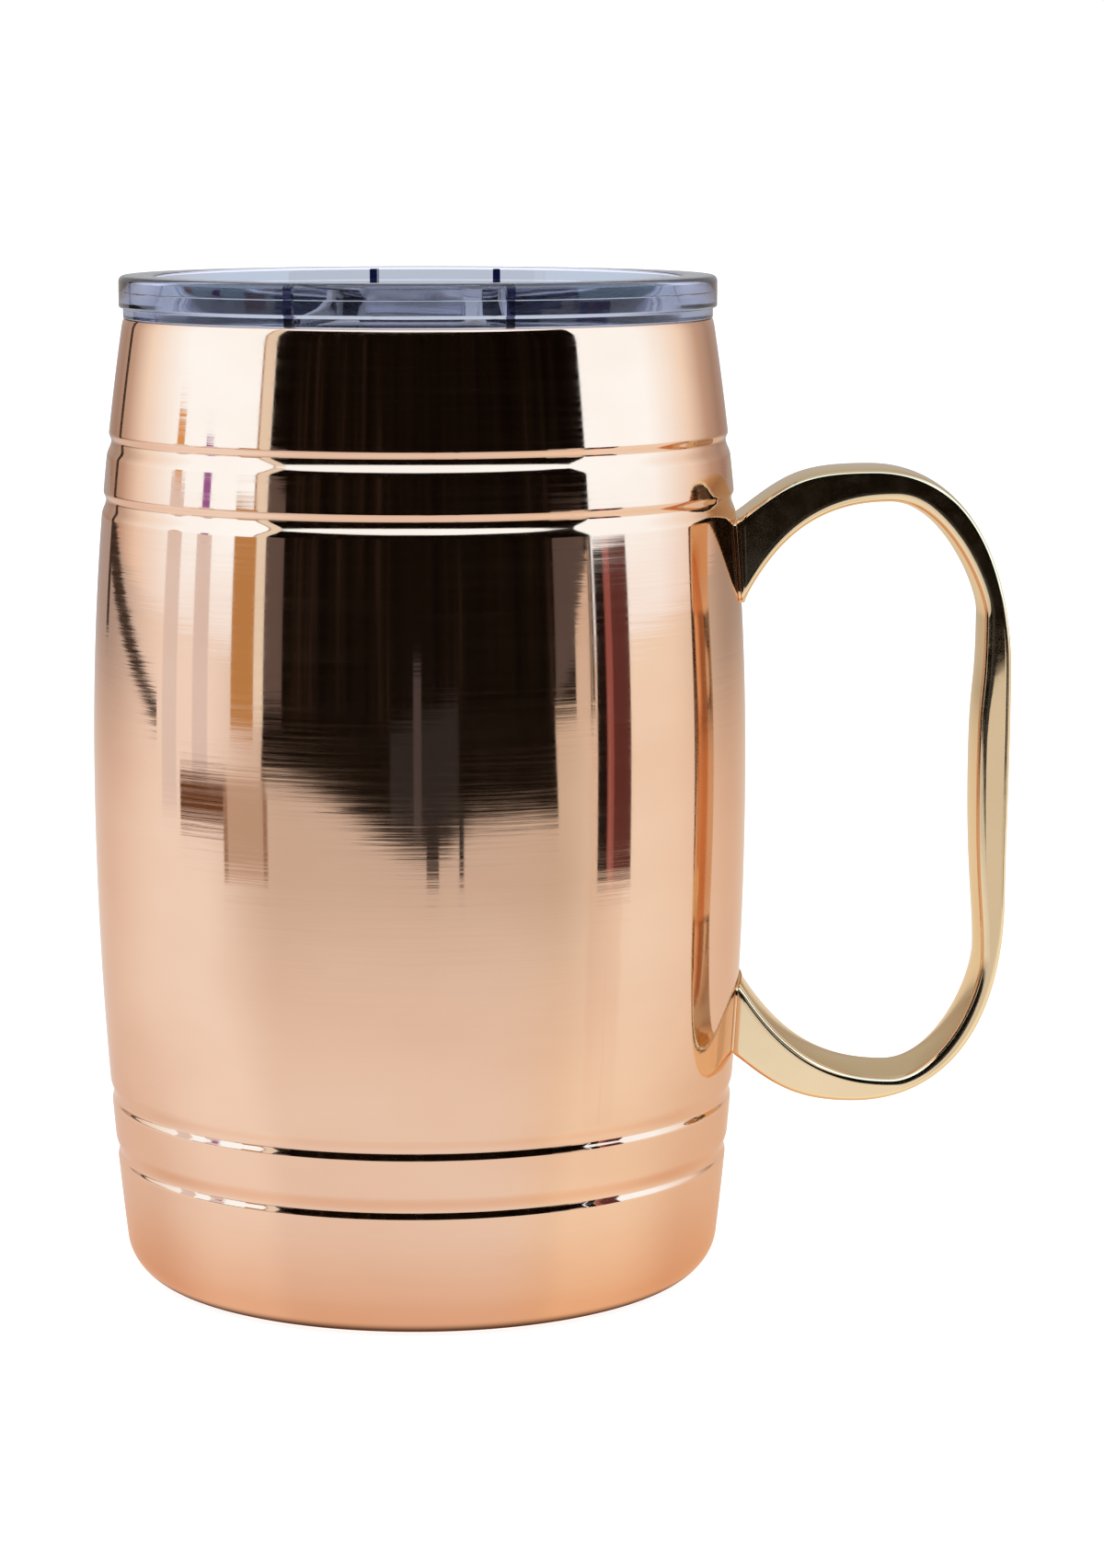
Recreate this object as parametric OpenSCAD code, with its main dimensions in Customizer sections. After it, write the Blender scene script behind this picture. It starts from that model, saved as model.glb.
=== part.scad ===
// Double-walled barrel mug: a copper-plated outer shell, a steel liner, a cast
// handle screwed on from inside the wall, and a clear plug lid with a slider.
// Millimetres. The origin is the centre of the base, the handle points along
// +X and the drinking side is -Y.

/* [Barrel] */
// Height of the mouth above the base
mouth_h = 138.5; // [134:0.5:140]
// Radius of the belly, the widest ring of the barrel
belly_r = 46.95; // [46.8:0.05:47.2]
// Height of the belly above the base
belly_h = 73.5; // [71:0.5:76]
// Radius of the stave curve above the belly
upper_curve_r = 425; // [420:5:450]
// Radius of the stave curve below the belly
lower_curve_r = 590; // [560:10:620]
// Radius of the rounding at the foot of the barrel
foot_round = 5.7; // [5:0.1:6]
// Wall thickness of the outer shell
shell_wall = 0.7; // [0.6:0.1:0.8]

/* [Grooves] */
// Depth of the pressed hoop grooves above the belly
groove_depth = 0.45; // [0.3:0.05:0.6]
// Depth of the pressed hoop grooves below the belly
low_groove_depth = 0.36; // [0.24:0.04:0.44]
// Height of a groove's steep flank, the one away from the belly
groove_steep = 1.25; // [1.05:0.1:1.55]
// Height of a groove's gentle flank, the one towards the belly
groove_gentle = 2.2; // [1.8:0.1:2.6]

/* [Liner] */
// Radius of the liner's bore
liner_bore_r = 40.4; // [40.2:0.1:40.4]
// Wall thickness of the liner
liner_wall = 0.7; // [0.5:0.1:0.7]
// Height of the liner's floor above the base
liner_floor_h = 8; // [7:0.5:12]

/* [Handle] */
// Width of the handle strap
strap_w = 14.5; // [12:0.5:15]

/* [Lid] */
// Radius of the lid's band
band_r = 42.5; // [42:0.1:43]
// Height of the lid's band
band_h = 4.5; // [4.2:0.1:5]
// Height of the smaller step under the band
step_h = 1.5; // [1:0.1:2]
// Turn of the drinking channel about the mug's axis
channel_turn = -2.4; // [-5:0.1:5]
// How far the slider travels to uncover the drink hole
slider_travel = 16; // [12:1:16]

/* [Hidden] */
$fn = 96;
eps = 0.01;
copper = [0.85, 0.55, 0.42];
steel = [0.72, 0.72, 0.74];
gold = [0.85, 0.72, 0.48];
clear_tint = [0.62, 0.66, 0.82, 0.5];
silicone = [0.88, 0.88, 0.9];

// Barrel outline
groove_heights = [18.7, 27.1, 112.9, 121.2];
groove_margin = 0.3;
foot_flat_r = 35.5;
bezier_steps = 12;

// Lid levels, from the mouth up
lid_step_z = mouth_h;
lid_band_z = lid_step_z + step_h;
lid_top_z = lid_band_z + band_h;
lid_floor_z = mouth_h - 2.5;
lid_floor_t = 1.8;
lid_under_z = lid_floor_z - lid_floor_t;
rim_inner_r = 37.5;
step_r = 41.9;
skirt_r = 39.9;
skirt_wall = 2.5;
skirt_z = mouth_h - 7.5;
gasket_z = mouth_h - 5.3;
gasket_h = 2.6;
gasket_root_r = 38.6;
gasket_lip_r = 40.1;

// Drinking channel: half widths at the drinking end and at the far end
channel_near = 14.7;
channel_far = 9;
channel_wall = 1.2;
channel_end_near = 35.5;
channel_end_far = 36.6;
channel_top_z = mouth_h + 1.3;
gusset_top_z = lid_top_z - 0.2;
gusset_l = 2.5;
running_gap = 0.15;

// Cuts through the lid's floor
floor_cut_h = lid_floor_t + 2;
stem_gap = 0.3;
vent_y = 31;
vent_r = 1.25;
drink_y = -26;
drink_half_w = 6;
drink_r = 3.5;

// Slider, at rest over the drink hole
slider_front_y = -31;
slider_back_y = 14;
slider_near = 11.8;
slider_far = 8.4;
slider_t = 2.6;
slider_z = lid_floor_z + running_gap;
pad_half_w = 10.6;
pad_front_y = -30.2;
pad_l = 8.6;
pad_inset = 1;
pad_gap = 0.05;
rib_half_w = 7;
stem_w = 5.4;
stem_front_y = -9;
stem_back_y = -3;
clip_t = 1.5;
clip_top_z = lid_under_z - stem_gap;
clip_w = 12;
clip_margin = 3;

// Handle screws, one in each foot
foot_heights = [34.3, 107.3];
screw_r = 1.5;
screw_hole_r = 1.55;
screw_depth = 4.2;
head_r = 2.75;
head_t = 1.6;
saddle_t = 0.8;
saddle_w = 12;
saddle_h = 7.6;
seat_gap = 0.3;
drill_in = 3;

// Radius of the plain stave curve at height z
function curve_r(z) =
    let (r = z > belly_h ? upper_curve_r : lower_curve_r, dz = z - belly_h)
    belly_r - (r - sqrt(r * r - dz * dz));

// Heights of the flanks above and below the groove whose bottom is at height at
function flank_above(at) = at < belly_h ? groove_gentle : groove_steep;
function flank_below(at) = at < belly_h ? groove_steep : groove_gentle;

// Depth at height z of the groove whose bottom is at height at
function groove(z, at) =
    let (u = z - at, flank = u > 0 ? flank_above(at) : flank_below(at),
         depth = at < belly_h ? low_groove_depth : groove_depth)
    abs(u) >= flank ? 0 : depth * (1 + cos(180 * u / flank)) / 2;

function groove_sum(z, i = 0) =
    i == len(groove_heights) ? 0 : groove(z, groove_heights[i]) + groove_sum(z, i + 1);

// Radius of the shell's outer face at height z, with grooves and foot rounding
function shell_r(z) =
    curve_r(z) - groove_sum(z)
    - (z < foot_round ? foot_round - sqrt(pow(foot_round, 2) - pow(foot_round - z, 2)) : 0);

// Heights of the outline's points: close together where it bends sharply
foot_zs = [for (a = [0 : 15 : 75]) foot_round * (1 - cos(a))];
stave_zs = [for (z = [foot_round : 3.2 : mouth_h - 1]) z];
near_groove_zs = [for (at = groove_heights, k = [-4 : 4])
    at + (k < 0 ? flank_below(at) : flank_above(at)) * k / 4];
function is_near_groove(z) =
    len([for (at = groove_heights)
        if (z > at - flank_below(at) - groove_margin && z < at + flank_above(at) + groove_margin) 1]) > 0;
function sorted(v) = len(v) <= 1 ? v :
    let (pivot = v[floor(len(v) / 2)])
    concat(sorted([for (x = v) if (x < pivot) x]), [pivot], sorted([for (x = v) if (x > pivot) x]));
outline_zs = sorted(concat(foot_zs, [for (z = stave_zs) if (!is_near_groove(z)) z],
                           near_groove_zs, [mouth_h]));

// Points of a cubic curve through four control points, without its last point
function curve_points(p, steps = bezier_steps) =
    [for (i = [0 : steps - 1]) let (t = i / steps, s = 1 - t)
        s * s * s * p[0] + 3 * s * s * t * p[1] + 3 * s * t * t * p[2] + t * t * t * p[3]];

// Handle outline in the XZ plane: the outer side going down from the upper foot,
// then the inner side coming back up from the lower foot
handle_outer = concat(
    curve_points([[42, 107.6], [52.4, 115.6], [53.4, 117.4], [64.9, 117.4]]),
    curve_points([[64.9, 117.4], [79.8, 117.4], [84.7, 101.6], [84.7, 87.6]]),
    curve_points([[84.7, 87.6], [84.7, 72.1], [84.3, 64.6], [84.3, 56]]),
    curve_points([[84.3, 56], [84.3, 35.3], [75, 25.7], [62.5, 25.7]]),
    curve_points([[62.5, 25.7], [52.8, 25.7], [49.6, 29], [42, 35.3]]));
handle_inner = concat(
    curve_points([[42, 50.5], [49.2, 37.4], [54.5, 29.6], [67.6, 29.6]]),
    curve_points([[67.6, 29.6], [75, 29.6], [80.5, 41.3], [80.5, 47.1]]),
    curve_points([[80.5, 47.1], [80.5, 53.5], [79.5, 57.9], [79.5, 72]]),
    curve_points([[79.5, 72], [79.5, 87.6], [80.4, 83.2], [80.4, 96.1]]),
    curve_points([[80.4, 96.1], [80.4, 100], [74.8, 112.5], [67.2, 112.5]]),
    curve_points([[67.2, 112.5], [54.6, 112.5], [47.8, 105.2], [42, 87.3]]));
handle_outline = concat(handle_outer, [[42, 35.3]], handle_inner, [[42, 87.3]]);

// Solid of revolution of the plain barrel, a little proud of the shell by gap
module barrel_core(gap = 0) {
    rotate_extrude() polygon(concat([[0, 0]],
        [for (z = outline_zs) [shell_r(z) + gap, z]], [[0, mouth_h]]));
}

// A plate seen from above with one half width at y0 and another at y1
module taper_plate(half_0, half_1, y0, y1, z, t) {
    translate([0, 0, z]) linear_extrude(t)
        polygon([[-half_0, y0], [half_0, y0], [half_1, y1], [-half_1, y1]]);
}

// Half width of the channel's centre line at distance y along it
function channel_half(y) =
    channel_near + (channel_far - channel_near) * (y + rim_inner_r) / (2 * rim_inner_r);

// Radial drill at a foot's height, from drill_in under the shell's face to reach beyond it
module foot_drill(z, reach) {
    translate([shell_r(z) - drill_in, 0, z]) rotate([0, 90, 0])
        cylinder(r = screw_hole_r, h = drill_in + reach);
}

module outer_shell() {
    turn_in = 0.4;
    inside_start = shell_wall + 0.2;
    drill_out = 3;
    inner = [for (i = [len(outline_zs) - 1 : -1 : 0])
        let (z = outline_zs[i], thicker = z < foot_round ? turn_in * (1 - z / foot_round) : 0)
        if (z > inside_start) [shell_r(z) - shell_wall - thicker, z]];
    color(copper) difference() {
        rotate_extrude() polygon(concat(
            [[foot_flat_r, 0]],
            [for (z = outline_zs) [shell_r(z), z]],
            inner,
            [[foot_flat_r, shell_wall]]));
        for (z = foot_heights) foot_drill(z, drill_out);
    }
}

module inner_liner() {
    outer_r = liner_bore_r + liner_wall;
    round_r = 7;
    flare_end_z = mouth_h - 2;
    flare_start_z = flare_end_z - 2;
    arc = [for (a = [0 : 15 : 90]) [sin(a), 1 - cos(a)]];
    lip_r = shell_r(mouth_h) - shell_wall;
    color(steel) rotate_extrude() polygon(concat(
        [[0, liner_floor_h - liner_wall]],
        [for (p = arc) [outer_r - round_r, liner_floor_h - liner_wall] + round_r * p],
        [[outer_r, flare_start_z], [lip_r, flare_end_z], [lip_r, mouth_h], [liner_bore_r, mouth_h]],
        [for (i = [len(arc) - 1 : -1 : 0])
            [outer_r - round_r, liner_floor_h] + (round_r - liner_wall) * arc[i]],
        [[0, liner_floor_h]]));
}

// Disc that closes the foot, with a shallow ring pressed into its underside
module base_plate() {
    plate_t = 0.8;
    ring_outer_r = 32;
    ring_inner_r = 28;
    ring_depth = 0.4;
    edge_gap = 0.05;
    color(copper) difference() {
        cylinder(r = foot_flat_r - edge_gap, h = plate_t);
        translate([0, 0, -eps]) difference() {
            cylinder(r = ring_outer_r, h = ring_depth + eps);
            translate([0, 0, -eps]) cylinder(r = ring_inner_r, h = ring_depth + 3 * eps);
        }
    }
}

// Bent strap, its feet cut to the barrel and drilled for the screws
module handle() {
    color(gold) difference() {
        translate([0, strap_w / 2, 0]) rotate([90, 0, 0]) linear_extrude(strap_w) polygon(handle_outline);
        barrel_core();
        for (z = foot_heights) foot_drill(z, screw_depth + seat_gap);
    }
}

module handle_screws() {
    hex_af = 2;
    hex_depth = 1;
    color(steel) for (z = foot_heights) {
        seat = shell_r(z) - shell_wall - saddle_t - seat_gap;
        difference() {
            union() {
                translate([seat, 0, z]) rotate([0, 90, 0])
                    cylinder(r = screw_r, h = screw_depth + shell_wall + saddle_t);
                translate([seat - head_t, 0, z]) rotate([0, 90, 0]) cylinder(r = head_r, h = head_t);
            }
            translate([seat - head_t - eps, 0, z]) rotate([0, 90, 0])
                cylinder(r = hex_af / sqrt(3), h = hex_depth, $fn = 6);
        }
    }
}

// Curved washers that spread each screw's load over the inside of the shell
module screw_saddles() {
    block_in = 8;
    back_gap = 0.05;
    hole_gap = 0.2;
    color(steel) for (z = foot_heights) difference() {
        intersection() {
            barrel_core(-shell_wall - back_gap);
            translate([shell_r(z) - block_in, -saddle_w / 2, z - saddle_h / 2])
                cube([block_in + 4, saddle_w, saddle_h]);
        }
        cylinder(r = shell_r(z) - shell_wall - saddle_t - hole_gap, h = mouth_h);
        translate([shell_r(z) - block_in - 1, 0, z]) rotate([0, 90, 0])
            cylinder(r = screw_hole_r + hole_gap, h = block_in + 4);
    }
}

// Stretch of one channel wall from y0 to y1, standing on the lid's floor
module wall_stretch(side, y0, y1, top_z) {
    translate([0, 0, lid_floor_z]) linear_extrude(top_z - lid_floor_z)
        polygon([for (p = [[y0, -0.5], [y0, 0.5], [y1, 0.5], [y1, -0.5]])
            [side * (channel_half(p[0]) + channel_wall * p[1]), p[0]]]);
}

// Round-ended drinking hole through the lid's floor
module drink_hole() {
    translate([0, drink_y, lid_under_z - 1]) {
        for (side = [-1, 1]) translate([side * drink_half_w, 0, 0]) cylinder(r = drink_r, h = floor_cut_h);
        translate([-drink_half_w, -drink_r, 0]) cube([2 * drink_half_w, 2 * drink_r, floor_cut_h]);
    }
}

module lid_body() {
    round_r = 0.7;
    skirt_inner_r = skirt_r - skirt_wall;
    top_round = [for (a = [0 : 22.5 : 90]) [band_r - round_r + round_r * cos(a),
                                           lid_top_z - round_r + round_r * sin(a)]];
    color(clear_tint) rotate([0, 0, channel_turn]) {
        difference() {
            rotate_extrude() polygon(concat(
                [[0, lid_under_z], [skirt_inner_r, lid_under_z], [skirt_inner_r, skirt_z],
                 [skirt_r, skirt_z], [skirt_r, gasket_z], [gasket_root_r, gasket_z],
                 [gasket_root_r, gasket_z + gasket_h], [skirt_r, gasket_z + gasket_h],
                 [skirt_r, lid_step_z], [step_r, lid_step_z], [step_r, lid_band_z], [band_r, lid_band_z]],
                top_round,
                [[rim_inner_r, lid_top_z], [rim_inner_r, lid_floor_z], [0, lid_floor_z]]));
            drink_hole();
            translate([-stem_w / 2 - stem_gap, stem_front_y - stem_gap, lid_under_z - 1])
                cube([stem_w + 2 * stem_gap, stem_back_y - stem_front_y + slider_travel + 2 * stem_gap,
                      floor_cut_h]);
            translate([0, vent_y, lid_under_z - 1]) cylinder(r = vent_r, h = floor_cut_h);
        }
        for (side = [-1, 1]) {
            wall_stretch(side, -channel_end_near, channel_end_far, channel_top_z);
            wall_stretch(side, -channel_end_near, gusset_l - channel_end_near, gusset_top_z);
            wall_stretch(side, channel_end_far - gusset_l, channel_end_far, gusset_top_z);
        }
    }
}

module lid_gasket() {
    mid_z = gasket_z + gasket_h / 2;
    lip = 0.5;
    waist = 0.6;
    color(silicone) rotate_extrude() polygon([
        [gasket_root_r, gasket_z], [gasket_lip_r - lip, gasket_z], [gasket_lip_r, gasket_z + lip],
        [gasket_lip_r - waist, mid_z], [gasket_lip_r, gasket_z + gasket_h - lip],
        [gasket_lip_r - lip, gasket_z + gasket_h], [gasket_root_r, gasket_z + gasket_h]]);
}

// Sliding shutter: a tapered plate with a pocket for its seal, grip ribs, a tab and a stem
module lid_slider() {
    rib_h = 0.6;
    rib_l = 1.2;
    tab_h = 1.2;
    tab_front_y = -7;
    tab_l = 2;
    plate_top_z = slider_z + slider_t;
    color(clear_tint) rotate([0, 0, channel_turn]) {
        difference() {
            taper_plate(slider_near, slider_far, slider_front_y, slider_back_y, slider_z, slider_t);
            translate([-pad_half_w, pad_front_y, slider_z - 1])
                cube([2 * pad_half_w, pad_l, 1 + pad_inset]);
        }
        for (y = [-16, -13, -10]) translate([-rib_half_w, y, plate_top_z])
            cube([2 * rib_half_w, rib_l, rib_h]);
        translate([-rib_half_w, tab_front_y, plate_top_z]) cube([2 * rib_half_w, tab_l, tab_h]);
        translate([-stem_w / 2, stem_front_y, clip_top_z - clip_t])
            cube([stem_w, stem_back_y - stem_front_y, slider_z - clip_top_z + clip_t]);
    }
}

// Plate under the lid's floor that keeps the slider's stem from lifting out
module slider_clip() {
    color(clear_tint) rotate([0, 0, channel_turn]) difference() {
        translate([-clip_w / 2, stem_front_y - clip_margin, clip_top_z - clip_t])
            cube([clip_w, stem_back_y - stem_front_y + 2 * clip_margin, clip_t]);
        translate([-stem_w / 2, stem_front_y, clip_top_z - clip_t - 1])
            cube([stem_w, stem_back_y - stem_front_y, clip_t + 2]);
    }
}

// Soft pad in the slider's pocket that closes the drinking hole
module slider_seal() {
    color(silicone) rotate([0, 0, channel_turn])
        translate([-pad_half_w, pad_front_y, lid_floor_z + pad_gap])
            cube([2 * pad_half_w, pad_l, slider_z + pad_inset - lid_floor_z - pad_gap]);
}

outer_shell();
inner_liner();
base_plate();
handle();
handle_screws();
screw_saddles();
lid_body();
lid_gasket();
lid_slider();
slider_clip();
slider_seal();
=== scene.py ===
"""Barrel mug with a clear slider lid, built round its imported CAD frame."""
import math

import bmesh
import bpy
from mathutils import Matrix, Vector


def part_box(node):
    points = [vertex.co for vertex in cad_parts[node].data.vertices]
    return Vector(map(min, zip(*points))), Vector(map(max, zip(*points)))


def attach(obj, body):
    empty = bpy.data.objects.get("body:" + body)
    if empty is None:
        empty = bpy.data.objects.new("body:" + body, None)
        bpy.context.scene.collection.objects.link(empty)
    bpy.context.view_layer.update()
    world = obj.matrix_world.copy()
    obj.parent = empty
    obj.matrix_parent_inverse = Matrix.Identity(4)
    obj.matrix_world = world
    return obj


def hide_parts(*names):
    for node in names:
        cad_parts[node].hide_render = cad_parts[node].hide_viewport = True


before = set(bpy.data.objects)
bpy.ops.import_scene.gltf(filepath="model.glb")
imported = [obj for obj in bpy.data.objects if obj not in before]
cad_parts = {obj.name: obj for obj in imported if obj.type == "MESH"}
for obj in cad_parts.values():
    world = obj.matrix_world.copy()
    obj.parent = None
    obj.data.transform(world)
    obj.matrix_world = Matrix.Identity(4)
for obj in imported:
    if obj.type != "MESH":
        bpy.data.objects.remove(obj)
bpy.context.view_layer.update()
MM = 0.001

# Driving dimensions, in millimetres, from the CAD frame
BODY_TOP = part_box("outer_shell")[1][2] / MM
BELLY_R = 46.95
BELLY_Z = 73.5
UPPER_CURVE, LOWER_CURVE = 425.0, 590.0
FOOT_ROUND = 5.7
FOOT_FLAT_R = 35.5
SHELL_WALL, TURN_IN_Z = 0.7, 3.5
BASE_THICK, RING_INNER_R, RING_OUTER_R, RING_DEPTH = 0.8, 28.0, 32.0, 0.4
GROOVES = (18.7, 27.1, 112.9, 121.2)
GROOVE_DEPTH, LOW_GROOVE_DEPTH = 0.45, 0.36
GROOVE_STEEP, GROOVE_GENTLE = 1.25, 2.2
LINER_BORE, LINER_WALL, LINER_FLOOR, LINER_ROUND = 40.4, 0.7, 8.0, 7.0
LID_TURN = math.radians(-2.4)
LID_FLOOR, LID_UNDER, LID_TOP = 136.0, 134.2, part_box("lid_body")[1][2] / MM
LID_UNDER_R, SEAL_R, PLUG_R, SKIRT_R, BAND_R, RIM_R = 37.4, 38.6, 39.9, 41.9, 42.5, 37.5
PLUG_Z, SEAL_LOW, SEAL_HIGH, SKIRT_Z, BAND_Z = 131.0, 133.2, 135.8, 138.5, 140.0
RIDGE_LOW, RIDGE_HIGH, RIDGE_OUT = 142.2, 142.36, 0.05
CHANNEL_NEAR, CHANNEL_FAR, CHANNEL_WIDE, CHANNEL_TAPER = -35.5, 36.6, 14.7, 5.7
WALL_TOP, WALL_HALF = 139.8, 0.55
POST_NEAR, POST_FAR, POST_TOP, POST_L, POST_GAP = -34.15, 36.2, LID_TOP - 0.2, 2.5, 0.04
SLIDER_Z, SLIDER_THICK = LID_FLOOR + 0.15, 2.6
WELD = 0.005 * MM


# ---------------------------------------------------------------- outlines

def curve_r(z):
    """Radius of the plain barrel curve at height z."""
    bend = UPPER_CURVE if z > BELLY_Z else LOWER_CURVE
    return BELLY_R - (bend - math.sqrt(bend * bend - (z - BELLY_Z) ** 2))


def groove(z, at):
    """Depth at height z of the pressed groove whose bottom is at height at: gentle towards the belly."""
    low = at < BELLY_Z
    flank = GROOVE_GENTLE if (z > at) == low else GROOVE_STEEP
    depth = LOW_GROOVE_DEPTH if low else GROOVE_DEPTH
    u = abs(z - at) / flank
    return 0.0 if u >= 1 else depth * (1 + math.cos(math.pi * u)) / 2


def shell_r(z):
    """Radius of the shell's outer face at height z."""
    r = curve_r(z) - sum(groove(z, at) for at in GROOVES)
    if z < FOOT_ROUND:
        r -= FOOT_ROUND - math.sqrt(FOOT_ROUND ** 2 - (FOOT_ROUND - z) ** 2)
    return r


def rounded(corners, steps=5):
    """A closed outline with its corners rounded: corners are (x, y, radius)."""
    out = []
    n = len(corners)
    for i, (x, y, r) in enumerate(corners):
        p = Vector((x, y))
        if r <= 0:
            out.append((x, y))
            continue
        a = (Vector(corners[i - 1][:2]) - p).normalized()
        b = (Vector(corners[(i + 1) % n][:2]) - p).normalized()
        half = a.angle(b) / 2
        centre = p + (a + b).normalized() * (r / math.sin(half))
        start = p + a * (r / math.tan(half)) - centre
        end = p + b * (r / math.tan(half)) - centre
        turn = start.angle_signed(end)
        for k in range(steps + 1):
            c, s = math.cos(-turn * k / steps), math.sin(-turn * k / steps)
            out.append((centre.x + c * start.x - s * start.y, centre.y + s * start.x + c * start.y))
    return out


def bezier(p, t):
    """The point at t, from 0 to 1, of the cubic curve with these four control points."""
    s = 1 - t
    return tuple(s ** 3 * p[0][k] + 3 * s * s * t * p[1][k] + 3 * s * t * t * p[2][k] + t ** 3 * p[3][k]
                 for k in (0, 1))


# ---------------------------------------------------------------- meshes

def new_object(name, bm, sharp=35.0):
    """Makes an object of a bmesh, smooth except over edges sharper than this many degrees."""
    bmesh.ops.recalc_face_normals(bm, faces=bm.faces)
    limit = math.radians(sharp)
    for face in bm.faces:
        face.smooth = True
    for edge in bm.edges:
        edge.smooth = len(edge.link_faces) != 2 or edge.calc_face_angle(0) < limit
    mesh = bpy.data.meshes.new(name)
    bm.to_mesh(mesh)
    bm.free()
    obj = bpy.data.objects.new(name, mesh)
    bpy.context.scene.collection.objects.link(obj)
    return obj


def revolve(name, outline, segments=256, sharp=35.0, turn=0.0):
    """A closed outline of (radius, z) in millimetres, spun about Z."""
    bm = bmesh.new()
    rings = []
    for r, z in outline:
        if r < 1e-6:
            rings.append([bm.verts.new((0, 0, z * MM))])
            continue
        angles = [turn + 2 * math.pi * k / segments for k in range(segments)]
        rings.append([bm.verts.new((r * MM * math.cos(a), r * MM * math.sin(a), z * MM)) for a in angles])
    for i, ring in enumerate(rings):
        after = rings[(i + 1) % len(rings)]
        if len(ring) == 1 and len(after) == 1:
            continue
        for k in range(segments):
            m = (k + 1) % segments
            corner = [ring[k % len(ring)], ring[m % len(ring)], after[m % len(after)], after[k % len(after)]]
            quad = [v for j, v in enumerate(corner) if v not in corner[:j]]
            bm.faces.new(quad)
    return new_object(name, bm, sharp)


def slab(name, outline, z0, z1, edge=0.3, steps=4, turn=0.0):
    """A flat plate of this outline from z0 to z1, its upper and lower edges rounded by this much."""
    bm = bmesh.new()
    n = len(outline)
    normals = []
    for i in range(n):
        a, b = Vector(outline[i - 1]), Vector(outline[(i + 1) % n])
        t = (b - a).normalized()
        normals.append(Vector((-t.y, t.x)))
    area = sum(outline[i - 1][0] * outline[i][1] - outline[i][0] * outline[i - 1][1] for i in range(n))
    side = 1 if area > 0 else -1
    layers = [(edge * (1 - math.sin(a)), z0 + edge * (1 - math.cos(a)))
              for a in (math.pi / 2 * k / steps for k in range(steps + 1))]
    layers += [(inset, z0 + z1 - z) for inset, z in reversed(layers)]
    spin = Matrix.Rotation(turn, 3, "Z")
    rings = []
    for inset, z in layers:
        ring = []
        for p, nrm in zip(outline, normals):
            q = Vector(p) + nrm * (side * inset)
            ring.append(bm.verts.new(spin @ Vector((q.x, q.y, z)) * MM))
        rings.append(ring)
    for low, high in zip(rings, rings[1:]):
        for k in range(n):
            m = (k + 1) % n
            bm.faces.new((low[k], low[m], high[m], high[k]))
    bm.faces.new(rings[0])
    bm.faces.new(rings[-1])
    return new_object(name, bm)


def combine(obj, operation, *tools):
    """Adds the tools to obj, or cuts them out of it, and removes them."""
    for tool in tools:
        mod = obj.modifiers.new("combine", "BOOLEAN")
        mod.operation = operation
        mod.solver = "EXACT"
        mod.object = tool
    shape = bpy.data.meshes.new_from_object(obj.evaluated_get(bpy.context.evaluated_depsgraph_get()))
    obj.modifiers.clear()
    bm = bmesh.new()
    bm.from_mesh(shape)
    bmesh.ops.remove_doubles(bm, verts=bm.verts, dist=WELD)
    bmesh.ops.dissolve_degenerate(bm, edges=bm.edges, dist=WELD)
    name = obj.name
    for o in (obj, *tools):
        bpy.data.objects.remove(o)
    bpy.data.meshes.remove(shape)
    return new_object(name, bm, 30.0)


# ---------------------------------------------------------------- materials

def material(name, **sockets):
    """A Principled material, its node tree and its shader; sockets are set by name."""
    mat = bpy.data.materials.new(name)
    mat.use_nodes = True
    tree = mat.node_tree
    shader = tree.nodes["Principled BSDF"]
    for key, value in sockets.items():
        shader.inputs[key.replace("_", " ")].default_value = value
    return mat, tree, shader


def stretched_noise(tree, scale, detail=2.0, rough=0.5, seed=0.0):
    """Noise over object coordinates, with its own scale along each axis."""
    coord = tree.nodes.new("ShaderNodeTexCoord")
    mapping = tree.nodes.new("ShaderNodeMapping")
    mapping.inputs["Scale"].default_value = scale
    mapping.inputs["Location"].default_value = (seed, seed * 1.7, seed * 0.6)
    noise = tree.nodes.new("ShaderNodeTexNoise")
    noise.inputs["Scale"].default_value = 1.0
    noise.inputs["Detail"].default_value = detail
    noise.inputs["Roughness"].default_value = rough
    tree.links.new(coord.outputs["Object"], mapping.inputs["Vector"])
    tree.links.new(mapping.outputs["Vector"], noise.inputs["Vector"])
    return noise.outputs["Fac"]


def remap(tree, value, low, high, to_low, to_high):
    """The value, with the range low to high stretched to to_low to to_high."""
    node = tree.nodes.new("ShaderNodeMapRange")
    for key, number in zip(("From Min", "From Max", "To Min", "To Max"), (low, high, to_low, to_high)):
        node.inputs[key].default_value = number
    tree.links.new(value, node.inputs["Value"])
    return node.outputs["Result"]


def ramp(tree, value, *stops):
    """A colour ramp: stops are (position, colour)."""
    node = tree.nodes.new("ShaderNodeValToRGB")
    while len(node.color_ramp.elements) < len(stops):
        node.color_ramp.elements.new(0.5)
    for element, (place, colour) in zip(node.color_ramp.elements, stops):
        element.position = place
        element.color = (*colour, 1)
    tree.links.new(value, node.inputs["Fac"])
    return node.outputs["Color"]


def bump(tree, height, strength, distance, below=None):
    """The normal of a relief of this height, laid over the relief below if there is one."""
    node = tree.nodes.new("ShaderNodeBump")
    node.inputs["Strength"].default_value = strength
    node.inputs["Distance"].default_value = distance
    tree.links.new(height, node.inputs["Height"])
    if below:
        tree.links.new(below, node.inputs["Normal"])
    return node.outputs["Normal"]


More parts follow.
